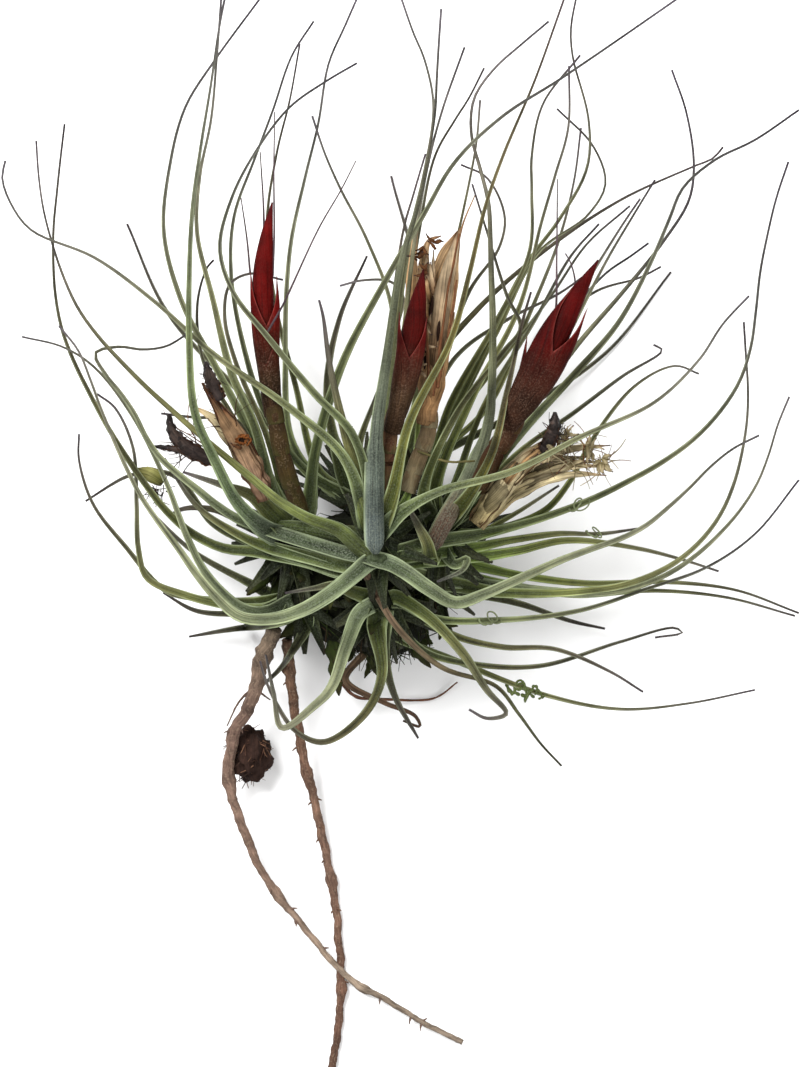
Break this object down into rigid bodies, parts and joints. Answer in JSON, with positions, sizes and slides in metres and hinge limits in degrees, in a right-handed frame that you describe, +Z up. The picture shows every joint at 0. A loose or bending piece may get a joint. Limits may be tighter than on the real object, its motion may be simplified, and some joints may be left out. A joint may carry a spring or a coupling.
{
  "type": "tillandsia schiedeana minor clump",
  "caption": "Picked air-plant clump lying on its back: rosettes of long thin channelled leaves, red flower spikes, a dry spike, dark woody base and long bare roots.",
  "frame": {"origin": "the flat resting spot on the underside of the old stem mass, under the crown", "axes": "+Z up from the surface, +Y from the roots to the leaf tips, +X to the right as seen from above"},
  "size_m": [0.2025, 0.2834, 0.0772],
  "materials": {
    "grey_leaf": "matt, silver-scaled grey-green leaf",
    "green_leaf": "matt, fine-scaled olive-green leaf",
    "stalk": "brown-pink stalk with papery sheaths",
    "red_bract": "satin dark red bract",
    "straw": "dry papery straw",
    "root": "rough brown root bark",
    "old_stem": "dark fibrous dead stem",
    "husk": "black crumbling husk",
    "yellow_remnant": "matt yellow-green remnant",
    "dead_leaf": "dry brown leaf"
  },
  "bodies": {
    "root": {"centre_rosette": "grey_leaf", "left_rosette": "grey_leaf", "right_rosette": "green_leaf", "left_low_rosette": "green_leaf", "right_low_rosette": "green_leaf", "lower_rosette": "green_leaf", "back_rosette": "green_leaf", "left_spike_stalk": "stalk", "left_spike_bracts": "red_bract", "centre_spike_stalk": "stalk", "centre_spike_bracts": "red_bract", "right_spike_stalk": "stalk", "right_spike_bracts": "red_bract", "dry_spike_stalk": "stalk", "dry_spike_bracts": "straw", "root_a": "root", "root_b": "root", "clump_base": "old_stem", "bark_lump": "old_stem", "left_dry_sheath": "straw", "right_dry_sheath": "straw", "husk_left_upper": "husk", "husk_left_lower": "husk", "husk_right": "husk", "yellow_remnant": "yellow_remnant", "dead_leaf_long": "dead_leaf", "dead_leaf_short": "dead_leaf"}
  },
  "joints": []
}
